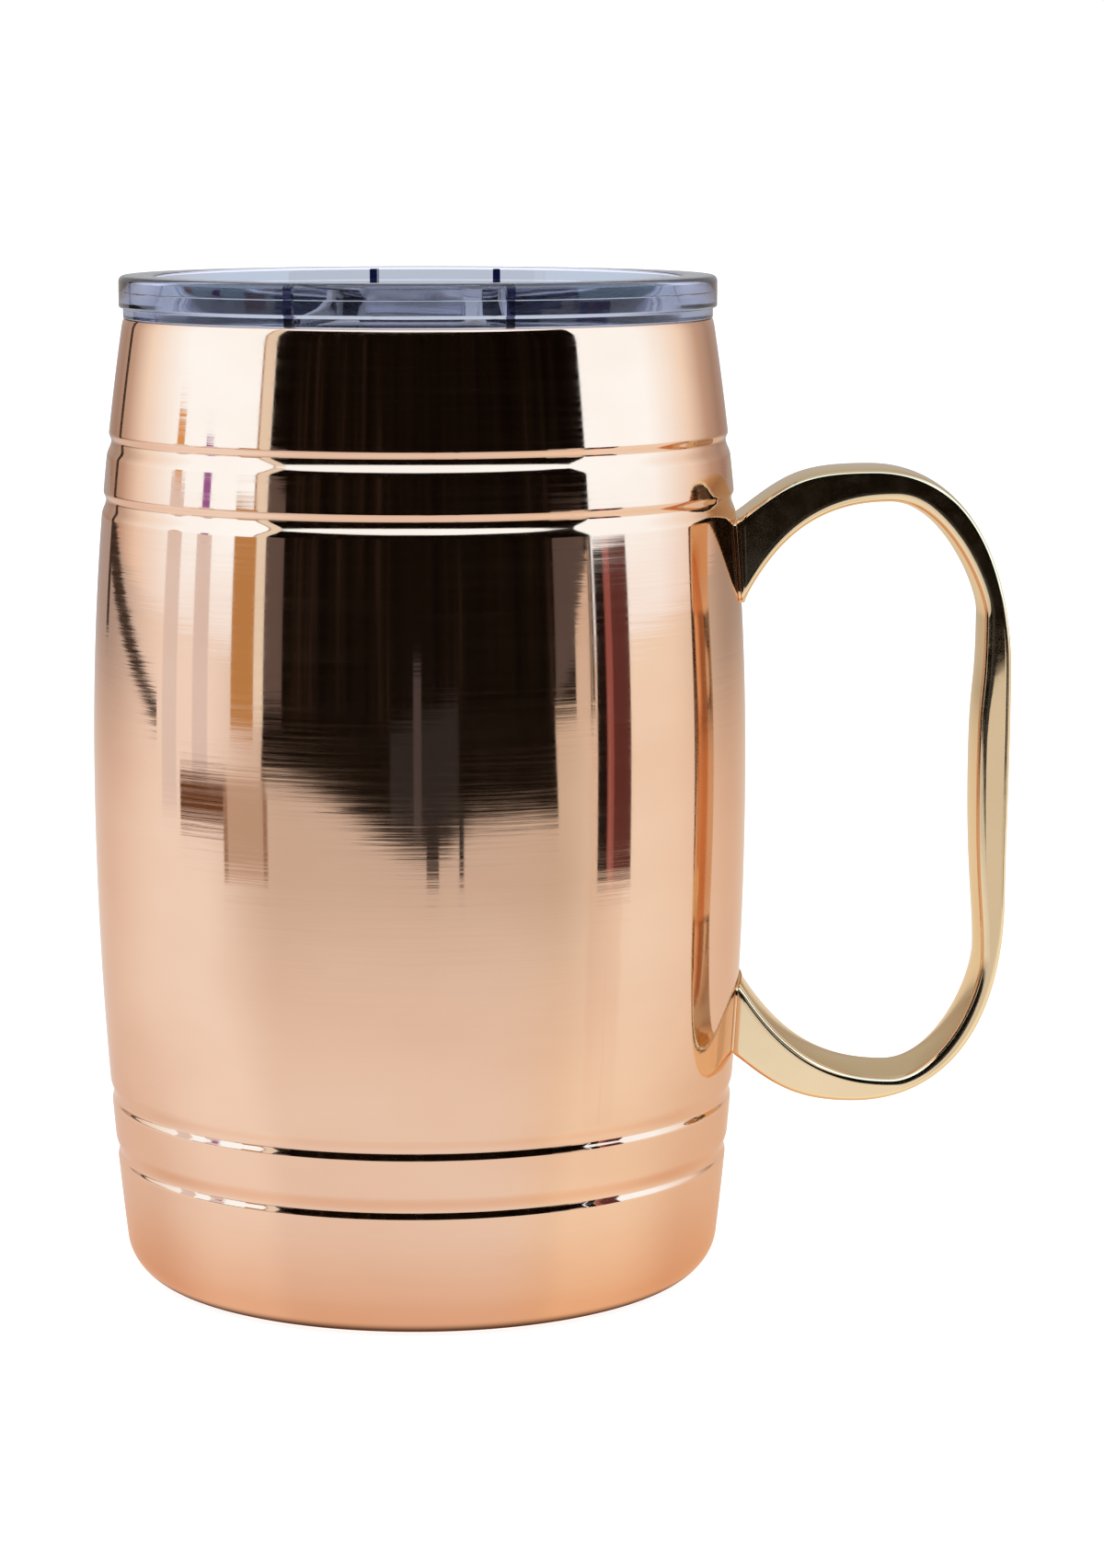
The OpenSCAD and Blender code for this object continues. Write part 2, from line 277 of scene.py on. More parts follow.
def specks(tree, per_metre, size):
    """1 inside sparse spots of this radius in metres, about one to each cell, and 0 elsewhere."""
    coord = tree.nodes.new("ShaderNodeTexCoord")
    cells = tree.nodes.new("ShaderNodeTexVoronoi")
    cells.inputs["Scale"].default_value = per_metre
    tree.links.new(coord.outputs["Object"], cells.inputs["Vector"])
    edge = size * per_metre
    return remap(tree, cells.outputs["Distance"], 0.6 * edge, edge, 1, 0)


def spotted(tree, colour, spots, spot_colour):
    """The colour with spots of another colour on it."""
    node = tree.nodes.new("ShaderNodeMix")
    node.data_type = "RGBA"
    tree.links.new(spots, node.inputs["Factor"])
    tree.links.new(colour, node.inputs["A"])
    node.inputs["B"].default_value = (*spot_colour, 1)
    return node.outputs["Result"]


def brush_round(tree, shader):
    """Turns a metal's brushing round the Z axis."""
    tangent = tree.nodes.new("ShaderNodeTangent")
    tangent.direction_type = "RADIAL"
    tangent.axis = "Z"
    tree.links.new(tangent.outputs["Tangent"], shader.inputs["Tangent"])


def copper_material():
    """Rose copper plate: fine brush lines round the barrel over a mirror polish, and a few pits."""
    mat, tree, shader = material("rose_copper_plate", Metallic=1.0, Anisotropic=0.55,
                                 Anisotropic_Rotation=0.25, Specular_Tint=(1.0, 0.90, 0.82, 1.0))
    link = tree.links.new
    tone = ramp(tree, stretched_noise(tree, (30, 30, 60), 3), (0.3, (0.82, 0.50, 0.345)),
                (0.7, (0.86, 0.55, 0.39)))
    pits = specks(tree, 55, 0.00022)
    link(spotted(tree, tone, pits, (0.30, 0.17, 0.11)), shader.inputs["Base Color"])
    fine = stretched_noise(tree, (40, 40, 2600), 3, 0.6)
    wide = stretched_noise(tree, (30, 30, 700), 2, 0.5, 5.0)
    link(remap(tree, fine, 0.3, 0.7, 0.035, 0.09), shader.inputs["Roughness"])
    normal = bump(tree, fine, 0.18, 0.00002)
    normal = bump(tree, wide, 0.16, 0.00005, normal)
    link(normal, shader.inputs["Normal"])
    brush_round(tree, shader)
    return mat


def gold_material():
    """Pale gold plate: polished, slightly wavy, with a few pits."""
    mat, tree, shader = material("champagne_gold_plate", Metallic=1.0,
                                 Specular_Tint=(1.0, 0.87, 0.64, 1.0))
    link = tree.links.new
    tone = ramp(tree, stretched_noise(tree, (60, 60, 60), 3), (0.3, (0.85, 0.64, 0.41)),
                (0.7, (0.90, 0.68, 0.44)))
    pits = specks(tree, 90, 0.00016)
    link(spotted(tree, tone, pits, (0.35, 0.24, 0.12)), shader.inputs["Base Color"])
    cloud = stretched_noise(tree, (400, 400, 400), 4, 0.6)
    link(remap(tree, cloud, 0.3, 0.7, 0.05, 0.12), shader.inputs["Roughness"])
    wave = stretched_noise(tree, (110, 110, 110), 2, 0.5, 3.0)
    normal = bump(tree, wave, 0.15, 0.0002)
    link(normal, shader.inputs["Normal"])
    return mat


def steel_material():
    """Satin steel, spun round the Z axis."""
    mat, tree, shader = material("spun_steel", Metallic=1.0, Anisotropic=0.5, Anisotropic_Rotation=0.25)
    link = tree.links.new
    fine = stretched_noise(tree, (25, 25, 2200), 3, 0.6)
    link(ramp(tree, fine, (0.3, (0.50, 0.50, 0.51)), (0.7, (0.62, 0.62, 0.63))), shader.inputs["Base Color"])
    link(remap(tree, fine, 0.3, 0.7, 0.2, 0.34), shader.inputs["Roughness"])
    link(bump(tree, fine, 0.2, 0.00003), shader.inputs["Normal"])
    brush_round(tree, shader)
    return mat


def clear_material(name, tint, density):
    """Clear plastic that takes on its tint with depth."""
    mat, tree, shader = material(name, Transmission_Weight=1.0, IOR=1.49)
    link = tree.links.new
    shader.inputs["Base Color"].default_value = (0.93, 0.94, 0.985, 1)
    cloud = stretched_noise(tree, (300, 300, 300), 3, 0.6)
    link(remap(tree, cloud, 0.3, 0.7, 0.012, 0.04), shader.inputs["Roughness"])
    wave = stretched_noise(tree, (90, 90, 160), 2, 0.5, 2.0)
    link(bump(tree, wave, 0.12, 0.0002), shader.inputs["Normal"])
    absorb = tree.nodes.new("ShaderNodeVolumeAbsorption")
    absorb.inputs["Color"].default_value = (*tint, 1)
    absorb.inputs["Density"].default_value = density
    link(absorb.outputs["Volume"], tree.nodes["Material Output"].inputs["Volume"])
    return mat


def silicone_material():
    """Milky, slightly translucent silicone."""
    mat, tree, shader = material("milky_silicone", Subsurface_Weight=0.4, Subsurface_Scale=0.002,
                                 Transmission_Weight=0.25)
    link = tree.links.new
    cloud = stretched_noise(tree, (500, 500, 500), 3)
    link(ramp(tree, cloud, (0.3, (0.72, 0.74, 0.78)), (0.7, (0.80, 0.82, 0.86))), shader.inputs["Base Color"])
    link(remap(tree, cloud, 0.3, 0.7, 0.38, 0.5), shader.inputs["Roughness"])
    link(bump(tree, cloud, 0.1, 0.0001), shader.inputs["Normal"])
    return mat


COPPER, GOLD, STEEL = copper_material(), gold_material(), steel_material()
CLEAR = clear_material("violet_clear_plastic", (0.46, 0.49, 0.70), 110.0)
# A much darker copy of the clear plastic: painted shade for the channel walls' ends
PAINTED_SHADE_PLASTIC = clear_material("painted_shade_clear_plastic", (0.05, 0.06, 0.40), 2200.0)
SILICONE = silicone_material()


def place(obj, mat, body, node, slot):
    """Gives a piece its material and its body, and hides the CAD node it stands for. The slot is not used."""
    obj.data.materials.clear()
    obj.data.materials.append(mat)
    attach(obj, body)
    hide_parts(node)
    return obj


# ---------------------------------------------------------------- mug body

def shell_heights():
    """Heights of the shell's outline: a millimetre apart, closer at the grooves and the foot."""
    zs = [FOOT_ROUND * (1 - math.cos(math.radians(a))) for a in range(0, 90, 6)]
    z = FOOT_ROUND
    while z < BODY_TOP - 0.4:
        zs.append(z)
        near = any(abs(z - at) < GROOVE_GENTLE + 1 for at in GROOVES)
        z += 0.14 if near else 1.0
    return zs


def build_shell():
    """The copper-plated outer wall, turned in at the lip and under the foot."""
    outer = [(shell_r(z), z) for z in shell_heights()]
    r = shell_r(BODY_TOP)
    lip = [(r, BODY_TOP - 0.35), (r - 0.1, BODY_TOP - 0.12), (r - 0.3, BODY_TOP), (r - SHELL_WALL, BODY_TOP)]
    inner = [(x - SHELL_WALL, z) for x, z in reversed(outer) if z > TURN_IN_Z]
    turn_in = [(shell_r(2.4) - 0.9, 2.6), (38.4, 1.2), (36.4, SHELL_WALL), (FOOT_FLAT_R, SHELL_WALL)]
    shell = revolve("outer_shell_skin", [(FOOT_FLAT_R, 0)] + outer + lip + inner + turn_in, 320)
    return place(shell, COPPER, "mug", "outer_shell", "copper_plate")


def build_liner():
    """The steel cup that holds the drink."""
    r = LINER_BORE + LINER_WALL
    lip = shell_r(BODY_TOP) - SHELL_WALL
    low = LINER_FLOOR - LINER_WALL
    outline = rounded([(0, low, 0), (r, low, LINER_ROUND), (r, BODY_TOP - 4, 1), (lip, BODY_TOP - 2, 0.3),
                       (lip, BODY_TOP, 0.02), (LINER_BORE, BODY_TOP, 0.4),
                       (LINER_BORE, LINER_FLOOR, LINER_ROUND - LINER_WALL), (0, LINER_FLOOR, 0)], 10)
    return place(revolve("inner_liner_cup", outline), STEEL, "mug", "inner_liner", "liner_steel")


def build_base():
    """The disc that the mug stands on, with one shallow ring pressed into it."""
    edge_r = FOOT_FLAT_R - 0.05
    outline = rounded([(0, 0, 0), (RING_INNER_R, 0, 0.15), (RING_INNER_R, RING_DEPTH, 0.15),
                       (RING_OUTER_R, RING_DEPTH, 0.15), (RING_OUTER_R, 0, 0.15),
                       (edge_r, 0, 0.2), (edge_r, BASE_THICK, 0.1), (0, BASE_THICK, 0)], 4)
    return place(revolve("base_plate_disc", outline), COPPER, "mug", "base_plate", "copper_plate")


# ---------------------------------------------------------------- handle

STRAP_HALF = 7.25
# Corner sizes, across the strap's thickness and along its width
OUTER_ROUND = (0.75, 0.75)
INNER_ROUND = (1.5, 1.1)
STRAP_CROWN, INNER_CROWN = 0.18, 0.4
# The seam at each foot: how far its rings are drawn in, and how far they stand off the barrel
SEAM = ((0.25, 0.0), (0.25, 0.16), (0.1, 0.24), (0.0, 0.4))
# The feet flare up to this share of each arm, fading with this power
FLARE_END, FLARE_POWER = 0.62, 1.6
CURVE_STEPS, ARM_STEPS, GRIP_STEPS = 60, 110, 40
# Outlines in the XZ plane, as control points of cubic curves from the upper foot to the lower one
OUTER_CURVES = (
    ((42, 107.6), (52.4, 115.6), (53.4, 117.4), (64.9, 117.4)),
    ((64.9, 117.4), (79.8, 117.4), (84.7, 101.6), (84.7, 87.6)),
    ((84.7, 87.6), (84.7, 72.1), (84.3, 64.6), (84.3, 56)),
    ((84.3, 56), (84.3, 35.3), (75, 25.7), (62.5, 25.7)),
    ((62.5, 25.7), (52.8, 25.7), (49.6, 29), (42, 35.3)))
INNER_CURVES = (
    ((42, 87.3), (47.8, 105.2), (54.6, 112.5), (67.2, 112.5)),
    ((67.2, 112.5), (74.8, 112.5), (80.4, 100), (80.4, 96.1)),
    ((80.4, 96.1), (80.4, 83.2), (79.5, 87.6), (79.5, 72)),
    ((79.5, 72), (79.5, 57.9), (80.5, 53.5), (80.5, 47.1)),
    ((80.5, 47.1), (80.5, 41.3), (75, 29.6), (67.6, 29.6)),
    ((67.6, 29.6), (54.5, 29.6), (49.2, 37.4), (42, 50.5)))
UPPER_HUB, LOWER_HUB = (62.0, 90.0), (62.0, 52.0)


def polyline(curves):
    pts = [bezier(c, k / CURVE_STEPS) for c in curves for k in range(CURVE_STEPS)]
    pts.append(curves[-1][3])
    return [Vector(p) for p in pts]


def hit(line, hub, angle):
    """Where the ray from hub at this angle first crosses the line."""
    hub = Vector(hub)
    d = Vector((math.cos(angle), math.sin(angle)))
    best = None
    for a, b in zip(line, line[1:]):
        e = b - a
        det = d.x * -e.y + e.x * d.y
        if abs(det) < 1e-12:
            continue
        w = a - hub
        t = (w.x * -e.y + e.x * w.y) / det
        s = (d.x * w.y - d.y * w.x) / det
        if t > 0 and -1e-9 <= s <= 1 + 1e-9 and (best is None or t < best):
            best = t
    return hub + d * best if best else None


def foot_angle(line, hub, sign):
    """Angle from hub at which the line meets the barrel."""
    for a, b in zip(line, line[1:]):
        gap_a, gap_b = a.x - shell_r(a.y), b.x - shell_r(b.y)
        if gap_a * gap_b <= 0:
            p = a + (b - a) * (gap_a / (gap_a - gap_b))
            ang = math.atan2(p.y - hub[1], p.x - hub[0])
            return ang if ang * sign > 0 else ang + sign * 2 * math.pi


def strap_stations():
    """Pairs of points on the strap's outer and inner sides, from the upper foot to the lower one."""
    outer, inner = polyline(OUTER_CURVES), polyline(INNER_CURVES)
    half_outer, half_inner = len(outer) // 2, len(inner) // 2
    parts = []
    spare = CURVE_STEPS
    upper = (UPPER_HUB, 1, outer[:half_outer + spare], inner[:half_inner + spare])
    lower = (LOWER_HUB, -1, outer[half_outer - spare:], inner[half_inner - spare:])
    for hub, sign, o_line, i_line in (upper, lower):
        ends = [foot_angle(line if sign > 0 else line[::-1], hub, sign) for line in (o_line, i_line)]
        arm = []
        for k in range(ARM_STEPS + 1):
            u = k / ARM_STEPS
            swing = ends[0] * (1 - u)
            flare = (ends[1] - ends[0]) * max(0.0, 1 - u / FLARE_END) ** FLARE_POWER
            arm.append((hit(o_line, hub, swing), hit(i_line, hub, swing + flare)))
        parts.append(arm)
    grip = []
    hub_x = UPPER_HUB[0]
    for k in range(1, GRIP_STEPS):
        z = UPPER_HUB[1] + (LOWER_HUB[1] - UPPER_HUB[1]) * k / GRIP_STEPS
        grip.append((hit(outer, (hub_x, z), 0.0), hit(inner, (hub_x, z), 0.0)))
    return parts[0] + grip + parts[1][::-1]


def strap_section(across, along, inset=0.0, steps=7, between=8):
    """Rounded rectangle of half sizes across and along, with wide inner corners and crowned long faces."""
    a, b = across - inset - STRAP_CROWN, along - inset
    arcs = []
    for p, q, (wide, deep), start in ((a, b, OUTER_ROUND, 0), (-a, b, INNER_ROUND, 90),
                                      (-a, -b, INNER_ROUND, 180), (a, -b, OUTER_ROUND, 270)):
        wide = min(wide, 1.1 * a)
        turns = [math.radians(start + 90 * k / steps) for k in range(steps + 1)]
        arcs.append([(p - math.copysign(wide, p) + wide * math.cos(t),
                      q - math.copysign(deep, q) + deep * math.sin(t)) for t in turns])
    pts = []
    for n, arc in enumerate(arcs):
        pts += arc
        (p0, q0), (p1, q1) = arc[-1], arcs[(n + 1) % 4][0]
        crown = (0.0, INNER_CROWN, 0.0, STRAP_CROWN)[n]
        for k in range(1, between):
            t = k / between
            bulge = math.copysign(4 * crown * t * (1 - t), p0)
            pts.append((p0 + (p1 - p0) * t + bulge, q0 + (q1 - q0) * t))
    return pts


def build_handle():
    """The gold strap, lofted through its stations and seated on the barrel at both feet."""
    stations = strap_stations()
    bm = bmesh.new()
    rings = []
    last = len(stations) - 1

    def ring(o, i, inset, foot_gap=None):
        mid, half = (o + i) / 2, (o - i) / 2
        unit = half.normalized()
        verts = []
        for p, q in strap_section(half.length, STRAP_HALF, inset):
            x, z, y = mid.x + unit.x * p, mid.y + unit.y * p, q
            if foot_gap is not None:
                x = math.sqrt(shell_r(z) ** 2 - y * y) + foot_gap
            verts.append(bm.verts.new((x * MM, y * MM, z * MM)))
        return verts

    for inset, gap in SEAM:
        rings.append(ring(*stations[0], inset, gap))
    for o, i in stations[3:last - 2]:
        rings.append(ring(o, i, 0.0))
    for inset, gap in reversed(SEAM):
        rings.append(ring(*stations[last], inset, gap))
    for a, b in zip(rings, rings[1:]):
        for k in range(len(a)):
            m = (k + 1) % len(a)
            bm.faces.new((a[k], a[m], b[m], b[k]))
    bm.faces.new(rings[0])
    bm.faces.new(rings[-1])
    handle = new_object("handle_strap", bm, 50)
    return place(handle, GOLD, "mug", "handle", "gold_plate")


# ---------------------------------------------------------------- lid

def channel_half(y):
    """Half the channel's width at y: widest at the drinking side."""
    return CHANNEL_WIDE - CHANNEL_TAPER * (y + RIM_R) / (2 * RIM_R)


def slot_outline(half_x, half_y, y, steps=8):
    """A round-ended slot lying along X, its middle at y."""
    flat = half_x - half_y
    pts = []
    for side, start in ((1, -90), (-1, 90)):
        for k in range(steps + 1):
            a = math.radians(start + 180 * k / steps)
            pts.append((side * flat + half_y * math.cos(a), y + half_y * math.sin(a)))
    return pts


def wall_stretch(side, y0, y1, bottom, top):
    """Stretch of one channel wall from y0 to y1."""
    outline = [(side * (channel_half(y) + off), y) for y, off in
               ((y0, -WALL_HALF), (y0, WALL_HALF), (y1, WALL_HALF), (y1, -WALL_HALF))]
    return slab("lid_posts", outline, bottom, top, 0.2, turn=LID_TURN)


def build_lid():
    """The clear plug lid: skirt, seal groove, band with its parting ridge, dish, channel and openings."""
    ridge = (BAND_R + RIDGE_OUT, (RIDGE_LOW + RIDGE_HIGH) / 2, 0)
    outline = rounded([
        (0, LID_UNDER, 0), (LID_UNDER_R, LID_UNDER, 0.6), (LID_UNDER_R, PLUG_Z, 0.3), (PLUG_R, PLUG_Z, 0.5),
        (PLUG_R, SEAL_LOW, 0.1), (SEAL_R, SEAL_LOW, 0.1), (SEAL_R, SEAL_HIGH, 0.1), (PLUG_R, SEAL_HIGH, 0.1),
        (PLUG_R, SKIRT_Z, 0.2), (SKIRT_R, SKIRT_Z, 0.2), (SKIRT_R, BAND_Z, 0.25), (BAND_R, BAND_Z, 0.3),
        (BAND_R, RIDGE_LOW, 0), ridge, (BAND_R, RIDGE_HIGH, 0), (BAND_R, LID_TOP, 0.8),
        (RIM_R, LID_TOP, 0.6), (RIM_R, LID_FLOOR, 0.8), (0, LID_FLOOR, 0)], 5)
    lid = revolve("lid_clear", outline, 192, turn=LID_TURN)
    near, far = CHANNEL_NEAR + POST_L + POST_GAP, CHANNEL_FAR - POST_L - POST_GAP
    walls = [wall_stretch(side, near, far, LID_FLOOR - 0.6, WALL_TOP) for side in (-1, 1)]
    lid = combine(lid, "UNION", *walls)
    stem_slot = rounded([(-3, -9.3, 0.8), (3, -9.3, 0.8), (3, 13.3, 0.8), (-3, 13.3, 0.8)], 4)
    openings = (("drink", slot_outline(9.5, 3.5, -26)), ("stem", stem_slot),
                ("vent", slot_outline(1.3, 1.25, 31)))
    cuts = [slab(name, shape, LID_UNDER - 2, LID_FLOOR + 2, 0.2, turn=LID_TURN) for name, shape in openings]
    lid = combine(lid, "DIFFERENCE", *cuts)
    return place(lid, CLEAR, "lid", "lid_body", "clear_plastic")


def build_posts():
    """The channel walls' four tall ends, in a much darker copy of the clear plastic: painted shade for the
    deep tint seen along them.
    """
    ends = ((POST_NEAR, CHANNEL_NEAR + POST_L), (CHANNEL_FAR - POST_L, POST_FAR))
    posts = [wall_stretch(side, y0, y1, LID_FLOOR + POST_GAP, POST_TOP)
             for side in (-1, 1) for y0, y1 in ends]
    return place(combine(posts[0], "UNION", *posts[1:]), PAINTED_SHADE_PLASTIC, "lid", "lid_body", "clear_plastic")


def build_gasket():
    """The silicone ring in the plug's groove, with two lips."""
    r, low, high = SEAL_R + 0.02, SEAL_LOW + 0.02, SEAL_HIGH - 0.02
    lip_r, back_r, waist_r = 40.1, 39.6, 39.5
    outline = rounded([(r, low, 0.1), (back_r, low, 0.2), (lip_r, 133.7, 0.25), (waist_r, 134.5, 0.3),
                       (lip_r, 135.3, 0.25), (back_r, high, 0.2), (r, high, 0.1)], 4)
    return place(revolve("lid_gasket_ring", outline), SILICONE, "lid", "lid_gasket", "silicone")


def build_slider():
    """The sliding closure with its grip ribs, tab and stem, and the seal pad in its pocket."""
    top = SLIDER_Z + SLIDER_THICK
    plate = rounded([(-11.8, -31, 2.5), (11.8, -31, 2.5), (8.4, 14, 2), (-8.4, 14, 2)], 6)
    slider = slab("lid_slider_clear", plate, SLIDER_Z, top, 0.35, turn=LID_TURN)
    parts = []
    for y in (-16, -13, -10):
        rib = rounded([(-7, y, 0.5), (7, y, 0.5), (7, y + 1.2, 0.5), (-7, y + 1.2, 0.5)], 3)
        parts.append(slab("rib", rib, top - 0.5, top + 0.6, 0.25, turn=LID_TURN))
    tab = rounded([(-7, -7, 0.8), (7, -7, 0.8), (7, -5, 0.8), (-7, -5, 0.8)], 4)
    parts.append(slab("tab", tab, top - 0.5, top + 1.2, 0.4, turn=LID_TURN))
    stem = rounded([(-2.7, -9, 0.5), (2.7, -9, 0.5), (2.7, -3, 0.5), (-2.7, -3, 0.5)], 3)
    parts.append(slab("foot", stem, LID_UNDER - 1.8, SLIDER_Z + 0.5, 0.2, turn=LID_TURN))
    slider = combine(slider, "UNION", *parts)
    pocket = rounded([(-10.6, -30.2, 1), (10.6, -30.2, 1), (10.6, -21.6, 1), (-10.6, -21.6, 1)], 4)
    pocket = slab("pocket", pocket, SLIDER_Z - 1, SLIDER_Z + 1, 0.05, turn=LID_TURN)
    slider = combine(slider, "DIFFERENCE", pocket)
    place(slider, CLEAR, "slider", "lid_slider", "clear_plastic")
    pad = rounded([(-10.5, -30.1, 1), (10.5, -30.1, 1), (10.5, -21.7, 1), (-10.5, -21.7, 1)], 4)
    seal = slab("slider_seal_pad", pad, LID_FLOOR + 0.05, SLIDER_Z + 0.97, 0.15, turn=LID_TURN)
    place(seal, SILICONE, "slider", "slider_seal", "silicone")


# ---------------------------------------------------------------- stage

# The stage is in metres and degrees. Its tones are what the copper needs to show the right colours
PLAIN = (1.0, 1.0, 1.0)
PANEL_WHITE = (1.17, 1.70, 2.22)
PANEL_FADE = ((95, PANEL_WHITE), (120, (1.03, 1.16, 1.22)), (135, (0.62, 0.58, 0.55)),
              (150, (0.42, 0.38, 0.36)), (170, (0.50, 0.51, 0.53)))
TOP_GREY = (0.60, 0.62, 0.61)
BARREL_R = 0.043
DOME_R, BACKDROP_R = 3.0, 0.55
CARDS = (
    # name, colour, radius, first and last azimuth, bottom heights, top heights
    ("post_brown", (0.55, 0.35, 0.14), 0.95, -65.5, -56.5, (0, 0), (0.185, 0.185)),
    ("frame_left", (0.92, 1.05, 1.05), 1.1, -57.5, -53, (0, 0), (0.9, 0.9)),
    ("frame_line_left", (0.45, 0.33, 0.25), 1.09, -58.3, -57.5, (0, 0), (0.9, 0.9)),
    ("case_grey", (0.13, 0.12, 0.125), 1.15, -53, -46, (0.01, 0.01), (0.27, 0.23)),
    ("box_brown", (0.14, 0.065, 0.025), 0.47, -86, -65, (0, 0), (0.022, 0.022)),
    ("jar_pale", (0.58, 0.53, 0.47), 0.37, -65, -50, (0, 0), (0.036, 0.036)),
    ("jar_edge_left", (0.36, 0.28, 0.22), 0.368, -66, -64.4, (0, 0), (0.030, 0.034)),
    ("jar_edge_right", (0.36, 0.28, 0.22), 0.368, -50.8, -49.2, (0, 0), (0.034, 0.030)),
    ("bottle_left", (0.85, 0.95, 1.08), 0.5, -95.5, -88, (0, 0), (0.145, 0.145)),
    ("bottle_left_top", (0.80, 0.52, 0.22), 0.5, -94, -90, (0.145, 0.145), (0.174, 0.174)),
    ("bottle_right", (0.83, 0.92, 1.06), 0.5, -80.5, -73.7, (0, 0), (0.135, 0.135)),
    ("bottle_right_top", (0.36, 0.14, 0.60), 0.5, -79, -75.5, (0.135, 0.135), (0.171, 0.171)),
    ("post_black", (0.012, 0.006, 0.005), 0.36, 61.5, 65.2, (0, 0), (0.124, 0.124)),
    ("post_rose", (0.34, 0.13, 0.13), 0.36, 65.2, 67.8, (0, 0), (0.124, 0.124)),
    ("post_red", (0.12, 0.045, 0.045), 0.36, 67.8, 75, (0, 0), (0.124, 0.124)),
    ("post_grey", (0.11, 0.105, 0.11), 1.1, 48.5, 60.5, (0.02, 0.08), (0.2, 0.2)),
    ("frame_right", (0.74, 0.72, 0.68), 1.05, 56, 62.5, (0, 0), (0.09, 0.165)),
    ("frame_line_right", (0.10, 0.08, 0.07), 1.04, 61.6, 62.2, (0, 0), (0.15, 0.15)),
    ("flag_low", (0.05, 0.04, 0.035), 0.8, -140, -100, (0.062, 0.002), (0.094, 0.018)),
    ("flag_pole", (0.05, 0.04, 0.035), 0.8, -141.5, -138.5, (0.03, 0.03), (0.4, 0.4)),
    ("stand_grey", (0.028, 0.030, 0.034), 0.42, -8, 14, (0.006, 0.006), (0.055, 0.07)),
    ("stand_pole", (0.075, 0.078, 0.088), 0.41, -0.5, 2, (0.01, 0.01), (0.085, 0.085)),
    ("stand_leg_left", (0.03, 0.03, 0.035), 0.37, 3.5, 7.5, (0, 0), (0.03, 0.03)),
    ("stand_leg_right", (0.03, 0.03, 0.035), 0.37, 14, 15.5, (0, 0), (0.03, 0.03)))
# The far edge of the table as (azimuth, radius), nearer in the middle
TABLE_EDGE = ((-53, 0.66), (-44, 0.65), (-35, 0.61), (-27, 0.56), (-19, 0.50), (-11, 0.455), (-4, 0.425),
              (4, 0.41), (10, 0.42), (15, 0.465), (20, 0.49), (30, 0.50), (39, 0.505), (48, 0.49))
TABLE_END = 1.25


def mix(a, b, t):
    """The colour at t between a, at 0, and b, at 1."""
    return tuple(x + (y - x) * t for x, y in zip(a, b))


def times(*colours):
    """The colours multiplied together."""
    return tuple(math.prod(channel) for channel in zip(*colours))


def ease(value, start, end):
    """Goes smoothly from 0 at start to 1 at end."""
    t = min(1.0, max(0.0, (value - start) / (end - start)))
    return t * t * (3 - 2 * t)


def graded(value, stops):
    """The colour at this value, between stops of (value, colour) in rising order."""
    for (v0, c0), (v1, c1) in zip(stops, stops[1:]):
        if value < v1:
            return mix(c0, c1, max(0.0, (value - v0) / (v1 - v0)))
    return stops[-1][1]


def emitter(name, colour=None, streaks=None):
    """A glowing material: one colour, streaks between two colours, or the mesh's own tones."""
    mat = bpy.data.materials.new(name)
    mat.use_nodes = True
    mat.cycles.emission_sampling = "NONE"
    tree = mat.node_tree
    tree.nodes.clear()
    glow = tree.nodes.new("ShaderNodeEmission")
    if streaks:
        upright = stretched_noise(tree, (14, 14, 1.2), 4, 0.6)
        tree.links.new(ramp(tree, upright, *streaks), glow.inputs["Color"])
    elif colour:
        glow.inputs["Color"].default_value = (*colour, 1)
    else:
        tones = tree.nodes.new("ShaderNodeAttribute")
        tones.attribute_name = "tone"
        tree.links.new(tones.outputs["Color"], glow.inputs["Color"])
    out = tree.nodes.new("ShaderNodeOutputMaterial")
    tree.links.new(glow.outputs["Emission"], out.inputs["Surface"])
    return mat


def on_compass(radius, azimuth, z):
    """A point at this azimuth in degrees: 0 is -Y and + is towards +X."""
    a = math.radians(azimuth)
    return Vector((radius * math.sin(a), -radius * math.cos(a), z))


def on_dome(radius, elevation, azimuth):
    """A point of a dome centred under the mug."""
    e = math.radians(elevation)
    return on_compass(radius * math.cos(e), azimuth, radius * math.sin(e))


def stage_only(obj, mat, through_plastic=False):
    """Makes obj a studio card that only reflections see, and the clear plastic if asked."""
    obj.data.materials.append(mat)
    obj.visible_camera = False
    obj.visible_diffuse = False
    obj.visible_shadow = False
    obj.visible_volume_scatter = False
    obj.visible_transmission = through_plastic
    return obj


def card(name, mat, radius, az0, az1, bottom, top, through_plastic=False):
    """An upright curved card between two azimuths; bottom and top give its heights at each end."""
    bm = bmesh.new()
    cols = []
    steps = 24
    for k in range(steps + 1):
        t = k / steps
        az = az0 + (az1 - az0) * t
        cols.append([bm.verts.new(on_compass(radius, az, ends[0] + (ends[1] - ends[0]) * t))
                     for ends in (bottom, top)])
    for a, b in zip(cols, cols[1:]):
        bm.faces.new((a[0], b[0], b[1], a[1]))
    return stage_only(new_object(name, bm), mat, through_plastic)


def toned_sheet(name, rows, point, tone):
    """A sheet of rings round the mug, each point glowing with its own tone, for reflections to see."""
    columns = 240
    bm = bmesh.new()
    layer = bm.verts.layers.float_color.new("tone")
    rings = []
    for row in rows:
        ring = []
        for k in range(columns):
            az = -180 + 360 * k / columns
            vert = bm.verts.new(point(row, az))
            vert[layer] = (*tone(row, az), 1)
            ring.append(vert)
        rings.append(ring)
    for low, high in zip(rings, rings[1:]):
        for k in range(columns):
            m = (k + 1) % columns
            bm.faces.new((low[k], low[m], high[m], high[k]))
    return stage_only(new_object(name, bm), emitter(name + "_glow"))


